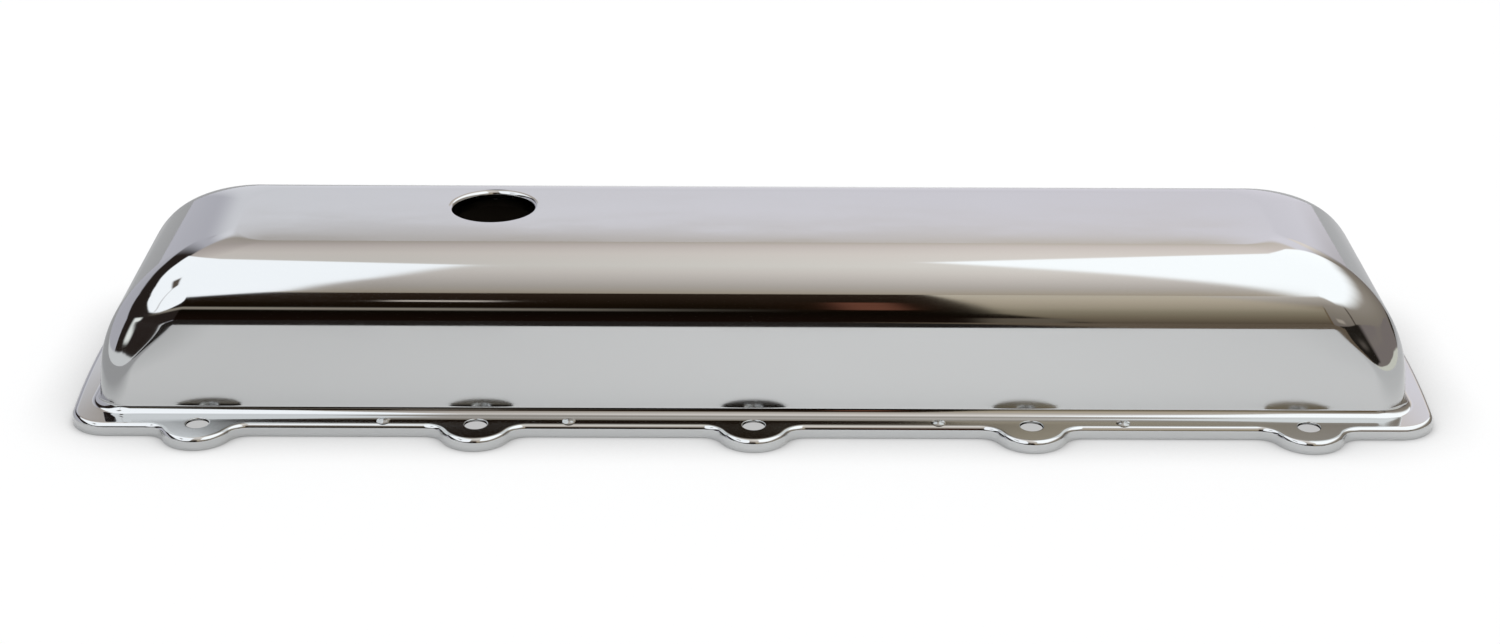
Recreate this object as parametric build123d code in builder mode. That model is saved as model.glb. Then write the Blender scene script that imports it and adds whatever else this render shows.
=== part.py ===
"""A pressed steel valve cover for a V-type engine: a long drawn dome on a flange with ten screw ears.

Millimetres. The cover stands on its turned-down rim at Z = 0, its length runs along X and the
origin is at the middle of its footprint.
"""

import os
from math import cos, radians, sin, sqrt, tan

from build123d import *

# The sheet that everything is formed in.
sheet = 1.0

# The dome, measured on its outer skin where it would meet the top of the flange.
dome_length = 506.0
dome_width = 118.0
dome_height = 58.5
dome_corner = 14.4  # plan radius of its corners, the same all the way up
side_draft = 7.5  # degrees that the long walls lean inwards
end_draft = 5.8  # degrees that the end walls lean inwards
side_bend = 27.0  # radius from a long wall to the crown
end_bend = 50.5  # radius from an end wall to the crown
foot_bend = 2.6  # radius from the walls to the flange
bend_steps = 12  # sections drawn round each bend of the outer skin
hidden_steps = 6  # the same for the inner skin

# The flange and the rim turned down from its edge.
end_flange = 10.5  # width of the flange beyond the ends of the dome
rail_flange = 9.6  # width of the straight rails between the ears
end_bow = 3.5  # how far the ends bow out beyond their corners
flange_corner = 15.0
rim_height = 5.0
edge_bend = 1.8
edge_steps = 2  # flats drawn round the edge bend of the outer skin

# The screw ears: five to a rail, with the same pitch all along.
screws_per_rail = 5
end_screw_inset = 42.0  # from the end of the dome to the first screw
screw_offset = 8.45  # from the side of the dome to the row of screws
screw_hole = 8.7  # clearance for a 5/16 inch screw
ear_radius = 13.6
ear_blend = 8.0

# The breather hole in the crown, with its collar turned down into the dome.
breather_x = -103.4
breather_y = 9.7
breather_bore = 32.3
breather_lip = 1.6  # outer radius from the crown into the bore
breather_collar = 6.6  # depth of the collar below the crown

# The locating pips pushed up in the straight rails, a pair about the second and fourth screws.
pip_offset = 35.2
pip_inset = 3.6  # from the edge of the rail
pip_radius = 2.0
pip_height = 0.7

# Worked out from the sizes above.
flange_length = dome_length + 2 * end_flange
flange_width = dome_width + 2 * rail_flange
screw_pitch = (dome_length - 2 * end_screw_inset) / (screws_per_rail - 1)
rail_spacing = dome_width + 2 * screw_offset
flange_top = rim_height
crown_top = flange_top + dome_height


def wall_inset(height, top, draft, bend):
    """How far a wall stands in from its foot, at a height above the flange."""
    lean = radians(draft)
    bend_centre = top - bend
    if height < bend_centre + bend * sin(lean):
        return height * tan(lean)
    centre_inset = bend_centre * tan(lean) + bend / cos(lean)
    return centre_inset - sqrt(max(bend**2 - (height - bend_centre) ** 2, 0))


def bend_heights(top, draft, bend, steps):
    """Heights above the flange at equal turns of a bend, from its wall up to the crown."""
    lean = radians(draft)
    turns = [lean + (radians(90) - lean) * step / steps for step in range(steps + 1)]
    return [top - bend * (1 - sin(turn)) for turn in turns]


def dome(skin, steps):
    """The drawn dome as a solid, with its surface moved in by skin and its foot run on downwards."""
    top = dome_height - skin
    side = side_bend - skin
    end = end_bend - skin
    corner = dome_corner - skin
    length = dome_length - 2 * skin / cos(radians(end_draft))
    width = dome_width - 2 * skin / cos(radians(side_draft))
    side_levels = bend_heights(top, side_draft, side, steps)
    end_levels = bend_heights(top, end_draft, end, steps)
    levels = [level for level in end_levels if level < side_levels[0]] + side_levels
    foot_length = length + 2 * rim_height * tan(radians(end_draft))
    foot_width = width + 2 * rim_height * tan(radians(side_draft))
    end_lean = (rim_height + levels[0]) * tan(radians(end_draft))
    side_lean = (rim_height + levels[0]) * tan(radians(side_draft))
    with BuildPart() as body:
        # The straight lower walls, with their four corners rounded.
        Wedge(
            foot_length, rim_height + levels[0], foot_width,
            end_lean, side_lean, foot_length - end_lean, foot_width - side_lean,
            rotation=(90, 0, 0), align=(Align.CENTER, Align.MIN, Align.CENTER),
        )
        fillet(body.edges().group_by(Axis.Z)[1], corner)

        # The bends above them, up to the crown.
        sections = [body.faces().sort_by(Axis.Z)[-1]]
        for level in levels[1:]:
            section_length = length - 2 * wall_inset(level, top, end_draft, end)
            section_width = width - 2 * wall_inset(level, top, side_draft, side)
            with BuildSketch(Plane.XY.offset(flange_top + level)) as outline:
                RectangleRounded(section_length, section_width, corner)
            sections.append(outline.sketch)
        loft(sections, ruled=skin > 0)
    return body.part


def flange_outline(skin):
    """The outline of the flange in plan, with its ears, moved in by skin."""
    half_length = flange_length / 2 - skin
    half_width = flange_width / 2 - skin
    corner_x = half_length - end_bow
    with BuildSketch() as outline:
        with BuildLine():
            right = ThreePointArc((corner_x, -half_width), (half_length, 0), (corner_x, half_width))
            left = ThreePointArc((-corner_x, half_width), (-half_length, 0), (-corner_x, -half_width))
            Line(right @ 1, left @ 0)
            Line(left @ 1, right @ 0)
        make_face()
        with GridLocations(screw_pitch, rail_spacing, screws_per_rail, 2):
            Circle(ear_radius - skin)
        joints = outline.vertices().sort_by_distance((0, 0, 0))
        fillet(joints[:-4], ear_blend + skin)
        corners = outline.vertices().sort_by_distance((0, 0, 0))[-4:]
        fillet(corners, flange_corner - skin)
    return outline.sketch


def pressed_form(skin, dome_steps, rim_steps):
    """Everything under the surface that lies skin inside the cover's outer one, as one solid."""
    top = flange_top - skin
    rim_bend = edge_bend - skin
    with BuildPart() as form:
        add(flange_outline(skin))
        extrude(amount=top - rim_bend)
        for step in range(rim_steps + 1):
            turn = radians(90) * step / rim_steps
            with BuildSketch(Plane.XY.offset(top - rim_bend * (1 - sin(turn)))):
                add(flange_outline(skin + rim_bend * (1 - cos(turn))))
        loft(ruled=True)
        add(dome(skin, dome_steps))
        flange_face = form.faces().filter_by(Axis.Z).sort_by(Axis.Z)[1]
        foot_edges = flange_face.inner_wires()[0].edges()
        if skin > 0:
            chamfer(foot_edges, (foot_bend + skin) * (2 - sqrt(2)))
        else:
            fillet(foot_edges, foot_bend)
    return form.part


with BuildPart() as cover_shell:
    add(pressed_form(0, bend_steps, edge_steps))
    add(pressed_form(sheet, hidden_steps, 1), mode=Mode.SUBTRACT)

    # The locating pips.
    for screw_x in (-screw_pitch, screw_pitch):
        with Locations((screw_x, 0, flange_top)):
            with GridLocations(2 * pip_offset, flange_width - 2 * pip_inset, 2, 2):
                Cone(pip_radius, 0, pip_height, align=(Align.CENTER, Align.CENTER, Align.MIN))

    # The screw holes.
    with Locations((0, 0, flange_top)):
        with GridLocations(screw_pitch, rail_spacing, screws_per_rail, 2):
            Hole(screw_hole / 2, depth=2 * sheet)

    # The breather hole: the crown rolls over a lip into a collar inside the dome.
    bore = breather_bore / 2
    lip_shoulder = breather_lip * (1 - sqrt(1 / 2))
    with Locations((breather_x, breather_y, crown_top)):
        Hole(bore + breather_lip, depth=2 * sheet)
    with BuildSketch(Plane((breather_x, breather_y, crown_top), (1, 0, 0), (0, -1, 0))):
        with BuildLine():
            Polyline(
                (bore + breather_lip, 0), (bore + lip_shoulder, -lip_shoulder), (bore, -breather_lip),
                (bore, -breather_collar), (bore + sheet, -breather_collar),
                (bore + sheet, -breather_lip), (bore + breather_lip, -sheet), (bore + breather_lip, 0),
            )
        make_face()
    revolve(axis=Axis((breather_x, breather_y, 0), (0, 0, 1)))

cover_shell.part.label = "cover_shell"
os.makedirs("parts", exist_ok=True)
export_step(cover_shell.part, "parts/cover_shell.step")
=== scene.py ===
"""The looks of a chromed steel valve cover, built round its solid, on a pale studio table."""

from math import atan2, cos, pi, radians, sin, sqrt

import bmesh
import bpy
from mathutils import Matrix, Vector


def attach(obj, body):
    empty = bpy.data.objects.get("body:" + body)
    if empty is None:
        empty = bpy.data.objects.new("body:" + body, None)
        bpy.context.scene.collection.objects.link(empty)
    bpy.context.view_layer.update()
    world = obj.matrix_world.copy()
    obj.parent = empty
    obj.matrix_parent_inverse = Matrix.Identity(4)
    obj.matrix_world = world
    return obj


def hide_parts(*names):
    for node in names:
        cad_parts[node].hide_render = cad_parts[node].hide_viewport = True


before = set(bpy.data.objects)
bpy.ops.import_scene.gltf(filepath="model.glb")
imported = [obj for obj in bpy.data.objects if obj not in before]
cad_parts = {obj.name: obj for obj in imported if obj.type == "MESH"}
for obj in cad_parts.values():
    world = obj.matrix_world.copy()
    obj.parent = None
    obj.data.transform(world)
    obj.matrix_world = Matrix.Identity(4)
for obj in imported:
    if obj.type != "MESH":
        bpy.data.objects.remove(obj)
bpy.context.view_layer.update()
mm = 0.001


# THE DRAWN DOME
# Sheet steel drawn into one long dome: four leaning walls that roll into a flat crown and flare
# into the flange at their foot. One tree makes its outer skin and, a sheet further in, its inner.
sheet = 1.0 * mm
dome_length = 506.0 * mm
dome_width = 118.0 * mm
dome_height = 58.5 * mm
dome_corner = 14.4 * mm
corner_swell = 10.0 * mm  # how much further the corners reach along the long walls, at their most
swell_start = 15.0 * mm
side_draft = 7.5
end_draft = 5.8
side_bend = 27.0 * mm
end_bend = 50.5 * mm
foot_bend = 3.4 * mm
foot_ease = 0.75 * mm  # how far the wall stands in at its foot, where it is steeper
ease_height = 7.5 * mm
flange_top = 5.0 * mm
crown_top = flange_top + dome_height
support = 0.4 * mm  # a narrow flat strip that ends each bend, so that its shading stays clean


class Tree:
    """A node tree being drawn: each call adds a node and hands back what it gives out."""

    def __init__(self, tree):
        self.tree = tree

    def node(self, kind, *inputs, out=0, **settings):
        made = self.tree.nodes.new(kind)
        for name, value in settings.items():
            setattr(made, name, value)
        for socket, value in zip(made.inputs, inputs):
            if isinstance(value, bpy.types.NodeSocket):
                self.tree.links.new(value, socket)
            elif value is not None:
                socket.default_value = value
        return made.outputs[out] if made.outputs else made

    def math(self, operation, *inputs):
        return self.node("ShaderNodeMath", *inputs, operation=operation)

    def carry(self, value, low, high, first, last, **settings):
        """Carries a value from one range over to another, and stops at both ends."""
        return self.node("ShaderNodeMapRange", value, low, high, first, last, **settings)


def new_geometry_tree(name, sizes):
    """A geometry tree with a named input for each size, and a material."""
    tree = bpy.data.node_groups.new(name, "GeometryNodeTree")
    for size, kind in sizes.items():
        tree.interface.new_socket(size, in_out="INPUT", socket_type=kind)
    tree.interface.new_socket("Finish", in_out="INPUT", socket_type="NodeSocketMaterial")
    tree.interface.new_socket("Geometry", in_out="OUTPUT", socket_type="NodeSocketGeometry")
    return tree, Tree(tree), tree.nodes.new("NodeGroupInput").outputs


def finished_mesh(name, tree, values):
    """Runs a tree with its inputs set, and returns the plain mesh that it makes."""
    holder = bpy.data.objects.new(name, bpy.data.meshes.new(name))
    bpy.context.scene.collection.objects.link(holder)
    modifier = holder.modifiers.new(name, "NODES")
    modifier.node_group = tree
    for item in tree.interface.items_tree:
        if item.in_out == "INPUT" and item.name in values:
            modifier[item.identifier] = values[item.name]
    graph = bpy.context.evaluated_depsgraph_get()
    mesh = bpy.data.meshes.new_from_object(holder.evaluated_get(graph), depsgraph=graph)
    bpy.data.objects.remove(holder)
    return mesh


tree, add, given = new_geometry_tree(
    "drawn_dome",
    {
        **dict.fromkeys(
            ["Length", "Width", "Height", "Corner", "Corner Swell", "Swell Start", "Side Draft",
             "End Draft", "Side Bend", "End Bend", "Foot Bend", "Foot Ease", "Ease Height", "Base",
             "Support"],
            "NodeSocketFloat",
        ),
        "Rings": "NodeSocketInt",
        "Foot Rings": "NodeSocketInt",
        "Corner Steps": "NodeSocketInt",
    },
)
corner_points = add.math("ADD", given["Corner Steps"], 1)
around = add.math("MULTIPLY", corner_points, 4)
grid = add.node("GeometryNodeMeshGrid", 1.0, 1.0, add.math("ADD", around, 1), given["Rings"])
place = add.node("ShaderNodeSeparateXYZ", add.node("GeometryNodeInputPosition"))
place_y = place.node.outputs[1]

# Which corner a point belongs to, and which way it faces there.
column = add.math("ROUND", add.math("MULTIPLY", add.math("ADD", place, 0.5), around))
column = add.math("MODULO", column, around)
quarter = add.math("FLOOR", add.math("DIVIDE", column, corner_points))
share = add.math("DIVIDE", add.math("MODULO", column, corner_points), given["Corner Steps"])
turn = add.math("MULTIPLY", add.math("ADD", quarter, share), pi / 2)
middle = add.math("MULTIPLY", add.math("ADD", quarter, 0.5), pi / 2)
sign_x = add.math("SIGN", add.math("COSINE", middle))
sign_y = add.math("SIGN", add.math("SINE", middle))

# How high its ring is: first round the foot bend, then up the wall and over the upper bend.
ring = add.math("MULTIPLY", add.math("ADD", place_y, 0.5), add.math("SUBTRACT", given["Rings"], 1))
ring = add.math("ROUND", ring)
first = add.math("LESS_THAN", ring, 0.5)
last = add.math("GREATER_THAN", ring, add.math("SUBTRACT", given["Rings"], 1.5))
bend_ring = add.math("MAXIMUM", add.math("SUBTRACT", ring, 1), 0)
both_drafts = add.math("ADD", given["Side Draft"], given["End Draft"])
mean_lean = add.math("RADIANS", add.math("MULTIPLY", both_drafts, 0.5))
foot_turn = add.math("SUBTRACT", pi / 2, mean_lean)
foot_share = add.math("MINIMUM", add.math("DIVIDE", bend_ring, given["Foot Rings"]), 1)
turned_up = add.math("COSINE", add.math("MULTIPLY", foot_share, foot_turn))
foot_rise = add.math("MULTIPLY", given["Foot Bend"], add.math("SUBTRACT", 1, turned_up))
wall_rings = add.math("SUBTRACT", add.math("SUBTRACT", given["Rings"], 3), given["Foot Rings"])
wall_share = add.math("DIVIDE", add.math("SUBTRACT", bend_ring, given["Foot Rings"]), wall_rings)
wall_share = add.math("MINIMUM", add.math("MAXIMUM", wall_share, 0), 1)
wall_rise = add.math(
    "MULTIPLY", add.math("SUBTRACT", given["Height"], foot_rise),
    add.math("SINE", add.math("MULTIPLY", wall_share, pi / 2)),
)
rise = add.math("ADD", foot_rise, wall_rise)


def inset_at(draft, bend):
    """How far a wall of this draft and bend stands in from its foot at a point's height."""
    lean = add.math("RADIANS", draft)
    centre = add.math("SUBTRACT", given["Height"], bend)
    straight = add.math("MULTIPLY", rise, add.math("TANGENT", lean))
    reach = add.math("MULTIPLY", centre, add.math("TANGENT", lean))
    reach = add.math("ADD", reach, add.math("DIVIDE", bend, add.math("COSINE", lean)))
    above = add.math("SUBTRACT", rise, centre)
    square = add.math("MULTIPLY", bend, bend)
    square = add.math("SUBTRACT", square, add.math("MULTIPLY", above, above))
    rolled = add.math("SUBTRACT", reach, add.math("SQRT", add.math("MAXIMUM", square, 0)))
    in_bend = add.math("GREATER_THAN", above, add.math("MULTIPLY", bend, add.math("SINE", lean)))
    inset = add.node("ShaderNodeMix", in_bend, None, straight, rolled)
    return add.math("ADD", inset, add.math("MULTIPLY", last, given["Support"]))


# The corners reach further along the long walls where the bend of those begins.
swelling = add.math("SINE", add.carry(rise, given["Swell Start"], given["Height"], 0, pi))
swelling = add.math("MULTIPLY", add.math("MULTIPLY", swelling, swelling), given["Corner Swell"])

# How far the foot flares out past the line of its wall.
foot_reach = add.math("SUBTRACT", 1, add.math("SINE", mean_lean))
foot_reach = add.math("DIVIDE", foot_reach, add.math("COSINE", mean_lean))
foot_reach = add.math("MULTIPLY", given["Foot Bend"], foot_reach)
foot_drop = add.math("SUBTRACT", given["Foot Bend"], foot_rise)
foot_square = add.math("SUBTRACT", add.math("MULTIPLY", given["Foot Bend"], given["Foot Bend"]),
                       add.math("MULTIPLY", foot_drop, foot_drop))
flare = add.math("SUBTRACT", foot_reach, add.math("SQRT", add.math("MAXIMUM", foot_square, 0)))
flare = add.math("ADD", flare, add.math("MULTIPLY", foot_rise, add.math("TANGENT", mean_lean)))
flare = add.math("ADD", flare, add.math("MULTIPLY", first, given["Support"]))

# And how far the wall eases inwards at its foot, where it stands steeper than further up.
ease = add.math("DIVIDE", add.math("MULTIPLY", rise, -1), given["Ease Height"])
ease = add.math("MULTIPLY", add.math("EXPONENT", ease), given["Foot Ease"])
corner_reach = add.math("SUBTRACT", add.math("ADD", given["Corner"], flare), ease)


def across(size, sign, inset, facing, swell=0.0):
    """A point's place along X or Y: its corner's centre, then out along the corner's radius."""
    corner = add.math("ADD", given["Corner"], swell)
    half = add.math("SUBTRACT", add.math("MULTIPLY", size, 0.5), add.math("ADD", corner, inset))
    out = add.math("MULTIPLY", facing, add.math("ADD", corner_reach, swell))
    return add.math("ADD", add.math("MULTIPLY", sign, half), out)


end_inset = inset_at(given["End Draft"], given["End Bend"])
side_inset = inset_at(given["Side Draft"], given["Side Bend"])
moved = add.node(
    "ShaderNodeCombineXYZ",
    across(given["Length"], sign_x, end_inset, add.math("COSINE", turn), swelling),
    across(given["Width"], sign_y, side_inset, add.math("SINE", turn)),
    add.math("ADD", given["Base"], rise),
)
merge_within = 0.02 * mm
walls = add.node("GeometryNodeSetPosition", grid, None, moved)
walls = add.node("GeometryNodeMergeByDistance", walls, None, merge_within)
walls = add.node("GeometryNodeRealizeInstances", walls)
walls = add.node("GeometryNodeSetMaterial", walls, None, given["Finish"])
add.node("NodeGroupOutput", walls)


def dome_walls(skin):
    """The walls and bends of the dome, with their surface moved in by skin."""
    return finished_mesh("dome_walls", tree, {
        "Length": dome_length - 2 * skin / cos(radians(end_draft)),
        "Width": dome_width - 2 * skin / cos(radians(side_draft)),
        "Height": dome_height,
        "Corner": dome_corner - skin,
        "Corner Swell": corner_swell,
        "Swell Start": swell_start,
        "Side Draft": side_draft,
        "End Draft": end_draft,
        "Side Bend": side_bend - skin,
        "End Bend": end_bend - skin,
        "Foot Bend": foot_bend + skin,
        "Foot Ease": foot_ease,
        "Ease Height": ease_height,
        "Base": flange_top - skin,
        "Support": support,
        "Rings": 96,
        "Foot Rings": 10,
        "Corner Steps": 24,
    })


shell = bmesh.new()
shell.from_mesh(dome_walls(0))
shell.from_mesh(dome_walls(sheet))


# THE FLANGE AND ITS SCREW EARS
# The flat rim of the same sheet, cut with five screw ears to a rail and bowed ends, then turned
# down all round over a small bend. The screw holes and the cut edges are barely broken.
flange_length = dome_length + 20.9 * mm
flange_width = dome_width + 19.2 * mm
end_bow = 3.5 * mm
flange_corner = 15.0 * mm
edge_bend = 1.8 * mm
screw_pitch = 105.5 * mm
screw_row = 67.45 * mm  # from the middle line to a row of screws
screw_hole = 4.35 * mm  # radius
ear_radius = 13.6 * mm
ear_blend = 8.0 * mm
broken_edge = 0.25 * mm
half_broken = 0.07 * mm  # the middle of the broken edge, in from both of its faces


def arc(centre, radius, start, end, steps, hollow=False):
    """Points along an arc, each with the way out of the sheet there. A hollow arc bends inwards."""
    points = []
    for step in range(steps + 1):
        angle = radians(start + (end - start) * step / steps)
        way = Vector((cos(angle), sin(angle)))
        points.append((Vector(centre) + radius * way, -way if hollow else way))
    return points


def flange_edge():
    """The outline of the flange, anticlockwise from the right end's middle."""
    rail = flange_width / 2
    bow_radius = (rail**2 + end_bow**2) / (2 * end_bow)
    bow_centre = flange_length / 2 - bow_radius
    corner_y = rail - flange_corner
    corner_x = bow_centre + sqrt((bow_radius - flange_corner) ** 2 - corner_y**2)
    slope = atan2(corner_y, corner_x - bow_centre) * 180 / pi
    blend_y = rail + ear_blend
    blend_x = sqrt((ear_radius + ear_blend) ** 2 - (blend_y - screw_row) ** 2)
    lean = atan2(blend_x, blend_y - screw_row) * 180 / pi
    quarter = arc((bow_centre, 0), bow_radius, 0, slope, 16)[:-1]
    quarter += arc((corner_x, corner_y), flange_corner, slope, 90, 12)
    ears = []
    for ear in (2, 1, 0):
        x = ear * screw_pitch
        ears += arc((x + blend_x, blend_y), ear_blend, -90, -90 - lean, 10, hollow=True)[:-1]
        ears += arc((x, screw_row), ear_radius, 90 - lean, 90 + lean, 24)
        ears += arc((x - blend_x, blend_y), ear_blend, -90 + lean, -90, 10, hollow=True)[1:]
    half = quarter + [pair for pair in ears if pair[0].x > 1e-6]
    half += [pair for pair in ears if abs(pair[0].x) <= 1e-6]
    half += [(Vector((-p.x, p.y)), Vector((-n.x, n.y))) for p, n in reversed(half) if p.x > 1e-6]
    lower = [(Vector((p.x, -p.y)), Vector((n.x, -n.y))) for p, n in reversed(half[1:-1])]
    return half + lower


def loop(points):
    """A closed ring of new points in the shell."""
    return [shell.verts.new(point) for point in points]


def join_rings(rings):
    """Sheets of metal between each ring and the next."""
    for low, high in zip(rings, rings[1:]):
        for at in range(len(low)):
            after = (at + 1) % len(low)
            shell.faces.new((low[at], low[after], high[after], high[at]))


def rounded(start, end, steps):
    """Turns from one angle to another, in degrees, as pairs of sine and cosine."""
    turns = [radians(start + (end - start) * step / steps) for step in range(steps + 1)]
    return [(sin(turn), cos(turn)) for turn in turns]


edge = flange_edge()


def edge_ring(inset, height):
    return loop([(*(point - inset * way), height) for point, way in edge])


bend_inner = edge_bend - sheet
outer_rings = [(edge_bend + support, flange_top), *(
    (edge_bend * (1 - turned), flange_top - edge_bend * (1 - upright))
    for turned, upright in rounded(0, 90, 8)
)]
cut_rings = [(0, broken_edge), (half_broken, half_broken), (broken_edge, 0), (sheet, 0)]
inner_rings = [*(
    (edge_bend - bend_inner * turned, flange_top - edge_bend + bend_inner * upright)
    for turned, upright in rounded(90, 0, 5)
), (edge_bend + support, flange_top - sheet)]
join_rings([edge_ring(inset, height) for inset, height in outer_rings + cut_rings + inner_rings])


def round_rings(x, y, profile, steps):
    """Rings about an upright axis, from pairs of radius and height."""
    turns = [radians(360 * step / steps) for step in range(steps)]
    join_rings([
        loop([(x + radius * cos(turn), y + radius * sin(turn), height) for turn in turns])
        for radius, height in profile
    ])


for column in (-2, -1, 0, 1, 2):
    for row in (-screw_row, screw_row):
        round_rings(column * screw_pitch, row, [
            (screw_hole + broken_edge + support / 2, flange_top),
            (screw_hole + broken_edge, flange_top),
            (screw_hole + half_broken, flange_top - half_broken),
            (screw_hole, flange_top - broken_edge),
            (screw_hole, flange_top - sheet),
            (screw_hole + support, flange_top - sheet),
        ], 48)


# THE BREATHER HOLE
# A round hole pierced through the crown behind its middle line. Its edge is rolled over a lip and
# drawn down into a short collar inside the dome, where a cap or a grommet is pushed in.
breather_x = -103.4 * mm
breather_y = 9.7 * mm
breather_bore = 16.15 * mm  # radius
breather_lip = 1.6 * mm
breather_collar = 6.6 * mm

lip_top = [
    (breather_bore + breather_lip * (1 - turned), crown_top - breather_lip * (1 - upright))
    for turned, upright in rounded(0, 90, 10)
]
lip_under = [
    (breather_bore + breather_lip - (breather_lip - sheet) * turned,
     crown_top - breather_lip + (breather_lip - sheet) * upright)
    for turned, upright in rounded(90, 0, 5)
]
collar_end = crown_top - breather_collar
round_rings(breather_x, breather_y, [
    (breather_bore + breather_lip + support, crown_top),
    *lip_top,
    (breather_bore, collar_end + broken_edge),
    (breather_bore + broken_edge, collar_end),
    (breather_bore + sheet - broken_edge, collar_end),
    (breather_bore + sheet, collar_end + broken_edge),
    *lip_under,
    (breather_bore + breather_lip + support, crown_top - sheet),
], 160)


# The flat stretches between all those edges: the crown and the flange, above and below.
weld = 0.001 * mm
level_within = 0.01 * mm
bmesh.ops.remove_doubles(shell, verts=shell.verts, dist=weld)
for height in (flange_top, flange_top - sheet, crown_top, crown_top - sheet):
    rim = [
        side for side in shell.edges
        if side.is_boundary and all(abs(end.co.z - height) < level_within for end in side.verts)
    ]
    bmesh.ops.triangle_fill(shell, edges=rim, use_beauty=True, normal=(0, 0, 1))
bmesh.ops.recalc_face_normals(shell, faces=shell.faces)


# THE LOCATING PIPS
# Small round pimples pushed up out of the straight rails, a pair about the second and fourth screws
# of each row. One low cap is made and set down at every place.
pip_radius = 2.9 * mm
pip_height = 0.7 * mm
pip_pair = 70.4 * mm  # between the two of a pair
pip_rows = 130.0 * mm
pip_lift = 0.002 * mm  # keeps the caps clear of the flange's own face

pip_tree, add, given = new_geometry_tree("locating_pips", {
    "Radius": "NodeSocketFloat", "Height": "NodeSocketFloat", "Screw Spacing": "NodeSocketFloat",
    "Pair Spacing": "NodeSocketFloat", "Rail Spacing": "NodeSocketFloat", "Base": "NodeSocketFloat",
})
cap = add.node("GeometryNodeMeshCircle", 40, given["Radius"], fill_type="TRIANGLE_FAN")
cap = add.node("GeometryNodeSubdivideMesh", cap, 4)
spot = add.node("ShaderNodeSeparateXYZ", add.node("GeometryNodeInputPosition"))
spot_x, spot_y = spot.node.outputs[0], spot.node.outputs[1]
square_x, square_y = add.math("MULTIPLY", spot_x, spot_x), add.math("MULTIPLY", spot_y, spot_y)
out_from_middle = add.math("SQRT", add.math("ADD", square_x, square_y))
out_share = add.math("MINIMUM", add.math("DIVIDE", out_from_middle, given["Radius"]), 1)
rounding = add.math("ADD", add.math("COSINE", add.math("MULTIPLY", out_share, pi)), 1)
rounding = add.math("MULTIPLY", rounding, 0.5)
raised = add.node("ShaderNodeCombineXYZ", 0.0, 0.0, add.math("MULTIPLY", rounding, given["Height"]))
cap = add.node("GeometryNodeSetPosition", cap, None, None, raised)


def pair_along(axis, apart):
    """Two points apart by a size, along X or Y."""
    half = add.math("MULTIPLY", apart, 0.5)
    ends = [add.math("MULTIPLY", half, -1), half]
    where = [(end, 0.0, 0.0) if axis == "X" else (0.0, end, 0.0) for end in ends]
    places = [add.node("ShaderNodeCombineXYZ", *place) for place in where]
    return add.node("GeometryNodeMeshLine", 2, None, places[0], places[1], mode="END_POINTS")


for axis, spacing in (("X", "Pair Spacing"), ("X", "Screw Spacing"), ("Y", "Rail Spacing")):
    cap = add.node("GeometryNodeInstanceOnPoints", pair_along(axis, given[spacing]), None, cap)
    cap = add.node("GeometryNodeRealizeInstances", cap)
lifted = add.node("ShaderNodeCombineXYZ", 0.0, 0.0, given["Base"])
caps = add.node("GeometryNodeSetPosition", cap, None, None, lifted)
caps = add.node("GeometryNodeRealizeInstances", caps)
caps = add.node("GeometryNodeSetMaterial", caps, None, given["Finish"])
add.node("NodeGroupOutput", caps)
shell.from_mesh(finished_mesh("locating_pips", pip_tree, {
    "Radius": pip_radius, "Height": pip_height, "Screw Spacing": 2 * screw_pitch,
    "Pair Spacing": pip_pair, "Rail Spacing": pip_rows, "Base": flange_top + pip_lift,
}))
for face in shell.faces:
    face.smooth = True
cover_mesh = bpy.data.meshes.new("cover_shell_skin")
shell.to_mesh(cover_mesh)
shell.free()
cover = bpy.data.objects.new("cover_shell_skin", cover_mesh)
bpy.context.scene.collection.objects.link(cover)


# THE CHROME PLATE
# Bright decorative chrome over polished steel. It is a hard mirror, duller low on the walls, where
# the polishing wheel can't reach, with the faint clouds of wiping and the long, shallow ripple of
# drawn sheet.
mirror_share = 0.62  # how much light the plate sends back
low_dullness = 0.09
ripple_height = 0.04 * mm
ripple_strength = 0.35

chrome = bpy.data.materials.new("chrome_plate")
chrome.use_nodes = True
nodes = Tree(chrome.node_tree)
shader = chrome.node_tree.nodes["Principled BSDF"]
shader.inputs["Base Color"].default_value = (mirror_share, 0.625, mirror_share, 1)
shader.inputs["Metallic"].default_value = 1
spot = nodes.node("ShaderNodeTexCoord", out=3)
along_sheet = nodes.node("ShaderNodeMapping", spot, None, None, (0.35, 1.0, 1.0))
clouds = nodes.node("ShaderNodeTexNoise", along_sheet, None, 38.0, 5.0, 0.6)
haze = nodes.carry(clouds, 0.35, 0.75, 0.03, 0.075)
level = nodes.node("ShaderNodeSeparateXYZ", spot).node.outputs[2]
low_start = nodes.carry(level, 7.5 * mm, 9.5 * mm, 0, 1)
low_end = nodes.carry(level, 11.0 * mm, 22.0 * mm, low_dullness, 0)
haze = nodes.math("ADD", haze, nodes.math("MULTIPLY", low_start, low_end))
nodes.tree.links.new(haze, shader.inputs["Roughness"])
ripple = nodes.node("ShaderNodeTexNoise", along_sheet, None, 24.0, 1.0, 0.4)
peel = nodes.node("ShaderNodeTexNoise", spot, None, 900.0, 2.0, 0.5)
relief = nodes.math("MULTIPLY_ADD", peel, 0.012, ripple)
bump = nodes.node("ShaderNodeBump", ripple_strength, ripple_height)
nodes.tree.links.new(relief, bump.node.inputs["Height"])
nodes.tree.links.new(bump, shader.inputs["Normal"])
cover_mesh.materials.append(chrome)
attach(cover, "root")
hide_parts("cover_shell")


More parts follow.
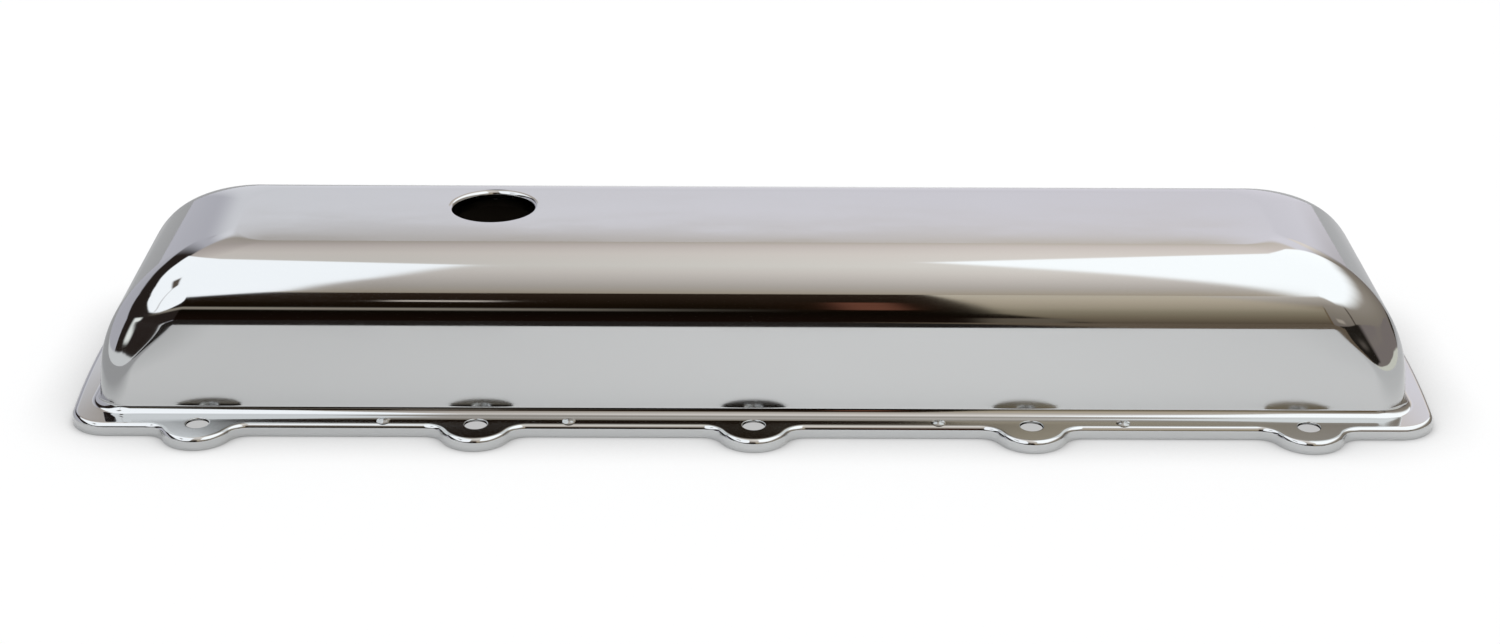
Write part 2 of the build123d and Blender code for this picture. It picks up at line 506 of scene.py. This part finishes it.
# THE TABLE
# A pale, finely mottled table that ends a little in front of the cover. Past its edge the room is
# dark, and the chrome shows that, while the camera still sees one pale ground, with a painted
# shadow close round the cover and a painted glow under it that shows through the screw holes.
table_width = 8
table_front = -0.352
straight_front = 0.30  # half of the straight part of that edge, which slants forwards beyond it
front_slant = 1.7
brown_from, brown_to = 0.15, 0.20  # where the dark in front turns brown, towards the right
cover_end = 0.262
shade_end = 0.31
# how far the painted contact shadow reaches out round the cover
painted_shadow_reach = 0.035

bpy.ops.mesh.primitive_plane_add(size=1)
table = bpy.context.object
table.name = "table"
table.data.transform(Matrix.Diagonal((table_width, table_width, 1, 1)))
pale = bpy.data.materials.new("table_top")
pale.use_nodes = True
nodes = Tree(pale.node_tree)
top = pale.node_tree.nodes["Principled BSDF"]
top.inputs["Roughness"].default_value = 0.9
top.inputs["Specular IOR Level"].default_value = 0
spot = nodes.node("ShaderNodeTexCoord", out=3)
place = nodes.node("ShaderNodeSeparateXYZ", spot).node.outputs
light_path = nodes.node("ShaderNodeLightPath").node.outputs
to_camera, to_chrome = light_path[0], light_path[3]


def blend(share, first, second):
    """A colour between two others."""
    mix = nodes.node("ShaderNodeMix", share, data_type="RGBA")
    mix.node.inputs[6].default_value = first
    mix.node.inputs[7].default_value = second
    return mix.node.outputs[2]


mottle = nodes.node("ShaderNodeTexNoise", spot, None, 160.0, 4.0, 0.6)
grain = blend(mottle, (0.90, 0.90, 0.90, 1), (0.92, 0.92, 0.92, 1))
nodes.tree.links.new(grain, top.inputs["Base Color"])

# The dark of the room past the front edge, brown towards the right.
side = nodes.math("ABSOLUTE", place[0])
slanting = nodes.math("MAXIMUM", nodes.math("SUBTRACT", side, straight_front), 0)
edge_at = nodes.math("MULTIPLY_ADD", slanting, front_slant, place[1])
beyond = nodes.carry(edge_at, table_front - 0.004, table_front, 1, 0)
to_brown = nodes.carry(place[0], brown_from, brown_to, 0, 1)
room_floor = blend(to_brown, (0.02, 0.017, 0.015, 1), (0.155, 0.12, 0.085, 1))
dark = nodes.node("ShaderNodeBsdfDiffuse", room_floor)

# Painted shade: what the chrome sees of the table is mixed towards black, darker towards and behind
# the ends of the cover.
left_shade = nodes.carry(place[0], -shade_end, -cover_end, 0.38, 0)
right_shade = nodes.carry(place[0], cover_end, shade_end, 0, 0.14)
to_ends = nodes.math("ABSOLUTE", nodes.math("SUBTRACT", place[0], 0.08))
dimming = nodes.carry(to_ends, 0.05, 0.30, 0.04, 0.15)
past_end = nodes.math("MAXIMUM", nodes.math("SUBTRACT", side, cover_end), 0)
behind = nodes.carry(nodes.math("MULTIPLY_ADD", past_end, -0.3, place[1]), 0.03, 0.10, 0, 1)
behind = nodes.math("MULTIPLY", behind, nodes.carry(place[0], -0.28, 0.28, 0.34, 0.30))
behind = nodes.math("MULTIPLY", behind, nodes.math("GREATER_THAN", past_end, 0))
end_shade = nodes.math("MAXIMUM", nodes.math("ADD", left_shade, right_shade), behind)
end_shade = nodes.math("MULTIPLY", nodes.math("ADD", end_shade, dimming), to_chrome)
# the painted shade: a near-black sheet that the chrome sees in place of the lit table
shade = nodes.node("ShaderNodeBsdfDiffuse", (0, 0, 0.01, 1))
ground = nodes.node("ShaderNodeMixShader", end_shade, top.outputs[0], shade)
past_front = nodes.math("MULTIPLY", beyond, to_chrome)
ground = nodes.node("ShaderNodeMixShader", past_front, ground, dark)

# The camera sees the ground nearly white, mostly as a glow with a painted contact shadow close
# round the cover, dimmer where the room is less open above it; the rest is the lit table with its
# real shade.
painted_shadow_strength = nodes.node("ShaderNodeAmbientOcclusion", (1, 1, 1, 1), painted_shadow_reach, out=1, samples=12)
painted_shadow_strength = nodes.math("MULTIPLY_ADD", painted_shadow_strength, 1.14, -0.12)
painted_shadow_glow = nodes.node("ShaderNodeEmission", (1, 1, 1, 1), painted_shadow_strength)
white_share = nodes.math("MULTIPLY", to_camera, 0.8)
ground = nodes.node("ShaderNodeMixShader", white_share, ground, painted_shadow_glow)

# Under the cover the chrome sees painted shade, a dim warm brown, and the camera sees painted
# light, a plain glow, which shows through the screw holes.
under_x = nodes.math("LESS_THAN", side, 0.24)
under_y = nodes.math("LESS_THAN", nodes.math("ABSOLUTE", place[1]), 0.064)
under = nodes.math("MULTIPLY", under_x, under_y)
# the painted shade under the cover, which only the chrome sees
inside = nodes.node("ShaderNodeBsdfDiffuse", (0.07, 0.055, 0.04, 1))
# the painted light under the cover, which only the camera sees
painted_glow_under = nodes.node("ShaderNodeEmission", (1, 1, 1, 1), 0.53)
for seen_by, light in ((to_chrome, inside), (to_camera, painted_glow_under)):
    share = nodes.math("MULTIPLY", under, seen_by)
    ground = nodes.node("ShaderNodeMixShader", share, ground, light)
nodes.tree.links.new(ground, pale.node_tree.nodes["Material Output"].inputs["Surface"])
table.data.materials.append(pale)


# THE STUDIO
# Two long soft boxes hang over the cover, with a warm grey ceiling between them and the dark of the
# room in front. Places overhead are on a ceiling one unit above the cover. Others are an azimuth,
# from straight in front round to the right, and an elevation, in degrees.
display_gamma = 2.2
lowest = 0.02
diffuse_lift = 0.12

world = bpy.data.worlds.new("studio")
bpy.context.scene.world = world
world.use_nodes = True
nodes = Tree(world.node_tree)
world.node_tree.nodes.clear()
parts = nodes.node("ShaderNodeSeparateXYZ", nodes.node("ShaderNodeTexCoord"))
to_right, to_back, up = parts.node.outputs
height = nodes.math("MAXIMUM", up, lowest)
across_ceiling = nodes.math("DIVIDE", to_right, height)
back_ceiling = nodes.math("DIVIDE", to_back, height)
to_front = nodes.math("MULTIPLY", to_back, -1)
azimuth = nodes.math("DEGREES", nodes.math("ARCTAN2", to_right, to_front))
elevation = nodes.math("DEGREES", nodes.math("ARCSINE", up))


def past(value, edge, softness, before=0, after=1):
    """1 where a value is past an edge, fading over the softness."""
    return nodes.carry(value, edge - softness, edge + softness, before, after,
                       interpolation_type="SMOOTHSTEP")


def between(value, low, high, low_soft, high_soft):
    """1 where a value lies between two edges, fading over the softness of each."""
    return nodes.math("MULTIPLY", past(value, low, low_soft), past(value, high, high_soft, 1, 0))


def tone(red, green, blue):
    """A displayed colour as light, for what the chrome sends back with its own dimness."""
    return [((part / 255) ** display_gamma) / mirror_share for part in (red, green, blue)]


def layer(under, colour, *masks):
    """Lays a colour over what is under it, where all the masks are."""
    mask = masks[0]
    for other in masks[1:]:
        mask = nodes.math("MULTIPLY", mask, other)
    mix = nodes.node("ShaderNodeMix", mask, data_type="RGBA")
    nodes.tree.links.new(under, mix.node.inputs[6])
    if isinstance(colour, list):
        mix.node.inputs[7].default_value = (*colour, 1)
    else:
        nodes.tree.links.new(colour, mix.node.inputs[7])
    return mix.node.outputs[2]


def scaled(colour, factor):
    """A colour made stronger or weaker by a factor."""
    made = nodes.node("ShaderNodeVectorMath", colour, operation="SCALE")
    nodes.tree.links.new(factor, made.node.inputs["Scale"])
    return made


def run_of_colours(value, low, high, stops):
    """Colours that follow one another along a value, from pairs of a place and a colour."""
    made = nodes.node("ShaderNodeValToRGB", nodes.carry(value, low, high, 0, 1))
    run = made.node.color_ramp.elements
    for at, (place, colour) in enumerate(stops):
        stop = run[at] if at < len(run) else run.new(1)
        stop.position = (place - low) / (high - low)
        stop.color = (*colour, 1)
    return made


def ramp(value, low, high, stops):
    """A run of displayed colours along a value."""
    return run_of_colours(value, low, high, [(place, tone(*colour)) for place, colour in stops])


def line_along(*stops):
    """An elevation that runs from place to place along the azimuth."""
    levels = [(place, 3 * [level / 90]) for place, level in stops]
    return nodes.math("MULTIPLY", run_of_colours(azimuth, stops[0][0], stops[-1][0], levels), 90)


def above(line, softness):
    """1 above a line, fading over the softness."""
    over = nodes.math("DIVIDE", nodes.math("SUBTRACT", elevation, line), softness)
    return past(over, 0, 1)


def below(line, softness):
    """1 below a line, fading over the softness."""
    return nodes.math("SUBTRACT", 1, above(line, softness))


def side_of(first, second, softness):
    """1 to the left of the way from one place on the ceiling to another, fading at the edge."""
    way = (Vector(second) - Vector(first)).normalized()
    offset = way.x * first[1] - way.y * first[0]
    lean = nodes.math("SUBTRACT", nodes.math("MULTIPLY", back_ceiling, way.x),
                      nodes.math("MULTIPLY", across_ceiling, way.y))
    return past(lean, offset, softness)


def panel(*sides):
    """A patch of the ceiling inside all its sides, which go round it anticlockwise."""
    masks = [side_of(*side) for side in sides]
    while len(masks) > 1:
        masks.append(nodes.math("MULTIPLY", masks.pop(0), masks.pop(0)))
    return masks[0]


# The walls of the room: pale behind, with beige to the right of that and grey to the left.
room = ramp(to_right, -0.2, 0.12, [
    (-0.2, (196, 197, 203)), (-0.06, (197, 196, 203)), (0.12, (198, 196, 204)),
])
room = scaled(room, nodes.carry(elevation, 20.5, 22.5, 0.93, 1.04))
beige_edges = (side_of((2.1, 3.8), (0.75, 2.46), 0.04), side_of((0.75, 2.46), (1.9, 0.4), 0.04))
room = layer(room, tone(206, 199, 194), *beige_edges)
grey_edges = (side_of((-0.75, 2.46), (-2.1, 3.8), 0.04), side_of((-0.9, 0), (-0.75, 3), 0.05))
room = layer(room, tone(152, 148, 150), *grey_edges)

# The right wall is grey-brown, with a brown corner, a pale patch and a pole.
right_wall = ramp(elevation, 0, 42, [
    (0, (104, 97, 92)), (20, (124, 117, 108)), (30, (135, 128, 120)), (42, (170, 164, 157)),
])
room = layer(room, right_wall, between(azimuth, 14, 153, 0.5, 5))
wall_corner = between(azimuth, 14.6, 16.2, 0.4, 0.8)
room = layer(room, tone(84, 68, 46), wall_corner, between(elevation, -9, 26, 1, 4))
pale_patch = between(azimuth, 22, 28.5, 1.5, 1.5)
room = layer(room, tone(150, 142, 132), pale_patch, between(elevation, 6.5, 11.5, 1.5, 1.5))
from_pole = nodes.math("SUBTRACT", azimuth, nodes.carry(elevation, 8, 42, 39.0, 45.5))
pole = between(from_pole, -0.8, 0.8, 0.6, 0.6)
room = layer(room, tone(66, 60, 54), pole, between(elevation, 8, 31, 2, 5))

# The left wall is grey, with a dark opening that reaches up from an arched line.
room = layer(room, tone(160, 160, 168), between(azimuth, -163, -14, 4, 1))
opening_foot = line_along(
    (-155, 14), (-145, 20), (-130, 26), (-120, 28), (-108, 28), (-100, 25), (-90, 20), (-80, 13),
    (-78, 0),
)
room = layer(room, tone(40, 35, 33), between(azimuth, -154, -14, 5, 1), above(opening_foot, 1.5))

# The ground rises to a pale line at the left, with one bright spot over it.
left_ground = line_along(
    (-112, 0), (-100, 2.5), (-90, 5), (-75, 8.5), (-60, 10.5), (-50, 9.2), (-40, 6), (-30, 1.5),
    (-22, -2),
)
pale_ground = between(azimuth, -112, -22, 8, 0.5)
room = layer(room, tone(188, 190, 192), pale_ground, below(left_ground, 0.7))
bright_spot = between(azimuth, -65, -54, 3, 2)
room = layer(room, tone(222, 226, 224), bright_spot, above(13, 0.4), below(16, 0.6))

# At the right a brown strip with a dark edge lies on the ground, and paler ground before it.
strip = line_along((22, 0), (30, 4), (40, 9.5), (50, 12.5), (60, 13.5), (100, 13), (112, 9))
room = layer(room, tone(110, 103, 101), between(azimuth, 22, 112, 0.5, 5), below(strip, 0.5))
strip_top, strip_foot = nodes.math("ADD", strip, 0.8), nodes.math("SUBTRACT", strip, 5)
dark_edge = between(azimuth, 21, 44, 1, 4)
room = layer(room, tone(34, 31, 28), dark_edge, below(strip_top, 0.6), above(strip_foot, 0.8))
right_ground = line_along(
    (29, 0), (40, 2), (50, 4), (60, 5), (75, 6.5), (90, 6), (100, 3), (108, 0),
)
room = layer(room, tone(186, 187, 178), between(azimuth, 29, 108, 1, 1), below(right_ground, 0.5))
room = layer(room, tone(48, 44, 38), between(azimuth, 112, 130, 3, 3), below(4, 1))

# In front is a warm wall that gets darker downwards.
warm_wall = ramp(elevation, -6, 50, [
    (-6, (64, 56, 48)), (2, (88, 79, 67)), (10, (108, 99, 84)), (17.5, (125, 117, 101)),
    (24.5, (147, 138, 122)), (31.6, (160, 150, 134)), (39, (170, 161, 145)), (47, (174, 167, 154)),
])
room = layer(room, warm_wall, between(azimuth, 2, 15.2, 0.5, 0.8))

# Beside it is the dark of the room, which reaches further right below, with thin lines of light.
dark_right = nodes.math("SUBTRACT", azimuth, nodes.carry(elevation, 0, 15, 2.0, 0))
dark_front = between(azimuth, -15.5, 60, 0.12, 1)
dark_front = nodes.math("MULTIPLY", dark_front, between(dark_right, -60, 6.3, 1, 0.12))
darkness = ramp(elevation, 0, 50, [
    (0, (26, 19, 16)), (14, (18, 15, 11)), (26, (27, 21, 15)), (42, (42, 34, 28)),
])
room = layer(room, darkness, dark_front)
long_streak = between(elevation, 16.5, 20.0, 1.5, 1.2)
room = layer(room, tone(128, 122, 113), long_streak, between(azimuth, -40, -4, 12, 6))
short_streak = between(elevation, 30.2, 32.4, 0.6, 0.6)
short_streak = nodes.math("MULTIPLY", short_streak, between(azimuth, -9.7, -6.8, 0.4, 0.4))
room = layer(room, tone(176, 168, 160), dark_front, short_streak)
red_glow = between(elevation, 19.5, 31.5, 0.8, 0.8)
room = layer(room, tone(96, 62, 50), dark_front, red_glow, between(azimuth, 2.6, 4.2, 0.5, 0.5))
room = layer(room, tone(88, 81, 71), between(azimuth, 5.8, 7.9, 0.3, 0.3), below(7, 1))

# The ceiling between the soft boxes, paler overhead than at its brown front edge.
overhead = ramp(back_ceiling, -1.1, 2.46, [
    (-1.1, (120, 108, 92)), (-0.96, (150, 141, 128)), (-0.65, (163, 157, 151)),
    (-0.4, (179, 173, 168)), (-0.13, (195, 189, 184)), (0.1, (203, 199, 194)),
    (0.6, (203, 196, 191)), (1.3, (190, 181, 177)), (2.3, (170, 163, 155)),
])
lit_front = nodes.carry(to_right, -0.15, 0.12, 0.84, 1.08)
lit_back = nodes.carry(to_right, -0.2, 0.1, 0.66, 1.10)
further_back = nodes.carry(back_ceiling, 0.6, 1.6, 0, 1)
lit = nodes.node("ShaderNodeMix", further_back, None, lit_front, lit_back)
ceiling = panel(((-0.50, 2.47), (-0.72, 1.3), 0.04), ((0.72, 1.3), (0.50, 2.47), 0.04))
ceiling_ends = between(back_ceiling, -1.0, 2.467, 0.01, 0.005)
room = layer(room, scaled(overhead, lit), ceiling, ceiling_ends)

# The left soft box is long and ends in a point behind.
left_box = panel(
    ((-0.46, -1.6), (-0.25, -0.9), 0.008), ((-0.25, -0.9), (-0.15, -0.3), 0.008),
    ((-0.15, -0.3), (-0.11, 0.1), 0.008), ((-0.11, 0.1), (-0.9, 1.5), 0.012),
)
left_box_foot = line_along(
    (-152, 33), (-140, 37), (-125, 40), (-110, 42), (-100, 42), (-90, 40), (-80, 37.5), (-70, 32),
    (-60, 27), (-50, 21), (-42, 19), (-36, 18.6), (-30, 19.8), (-25, 21.8), (-18, 26), (-15, 32),
)
left_box_ends = between(azimuth, -152, 5, 2, 1)
room = layer(room, tone(238, 242, 247), left_box, left_box_ends, above(left_box_foot, 1.0))

# A small bracket hangs before it from a thin rod.
bracket = line_along((-95, 58), (-80, 57.5), (-70, 56), (-60, 53.5), (-51, 50.5))
bracket_foot, bracket_top = nodes.math("SUBTRACT", bracket, 3), nodes.math("ADD", bracket, 3)
room = layer(room, tone(84, 76, 70), between(azimuth, -86, -56, 6, 3), above(bracket_foot, 1.5),
             below(bracket_top, 1.5))
from_rod = nodes.math("SUBTRACT", azimuth, nodes.carry(elevation, 24, 50, -43.5, -56))
rod = between(from_rod, -0.9, 0.9, 0.8, 0.8)
room = layer(room, tone(190, 190, 194), rod, between(elevation, 20, 50, 1, 2))

# The right soft box fades outwards.
right_box = panel(
    ((1.6, 2.3), (0.2, 1.33), 0.05), ((0.6, 1.75), (0.11, 0.35), 0.012),
    ((0.11, 0.1), (0.32, -0.95), 0.012),
)
right_box_foot = line_along(
    (18, 43), (25, 41), (35, 35), (50, 33), (60, 35), (80, 39), (100, 39), (120, 36), (140, 28),
    (152, 18),
)
fading = nodes.carry(azimuth, 30, 60, 2.5, 8)
room = layer(room, tone(247, 251, 254), right_box, above(right_box_foot, fading))

# The chrome and the table get the light of this room, and the camera sees plain white.
light_path = nodes.node("ShaderNodeLightPath").node.outputs
to_camera, to_table = light_path[0], light_path[2]
strength = nodes.math("MULTIPLY_ADD", to_table, diffuse_lift, 1.0)
background = nodes.node("ShaderNodeBackground", room, strength)
white = nodes.node("ShaderNodeBackground", (1, 1, 1, 1), 1.0)
nodes.node("ShaderNodeOutputWorld", nodes.node("ShaderNodeMixShader", to_camera, background, white))


# THE CAMERA
# A long lens a metre in front of the cover and a little above it, with the slightest roll.
camera_place = (-0.0061, -0.9604, 0.4444)
pitch, yaw, roll = radians(23.95), radians(0.286), radians(0.334)

camera = bpy.data.objects.new("camera", bpy.data.cameras.new("camera"))
bpy.context.scene.collection.objects.link(camera)
camera.data.lens = 62.88
camera.data.sensor_width = 36
ahead = Vector((sin(yaw) * cos(pitch), cos(yaw) * cos(pitch), -sin(pitch)))
level = Vector((cos(yaw), -sin(yaw), 0))
upright = level.cross(ahead)
right = cos(roll) * level + sin(roll) * upright
over = cos(roll) * upright - sin(roll) * level
turned = Matrix((right, over, -ahead)).transposed().to_4x4()
camera.matrix_world = Matrix.Translation(camera_place) @ turned
bpy.context.scene.camera = camera
bpy.context.scene.view_settings.view_transform = "Standard"
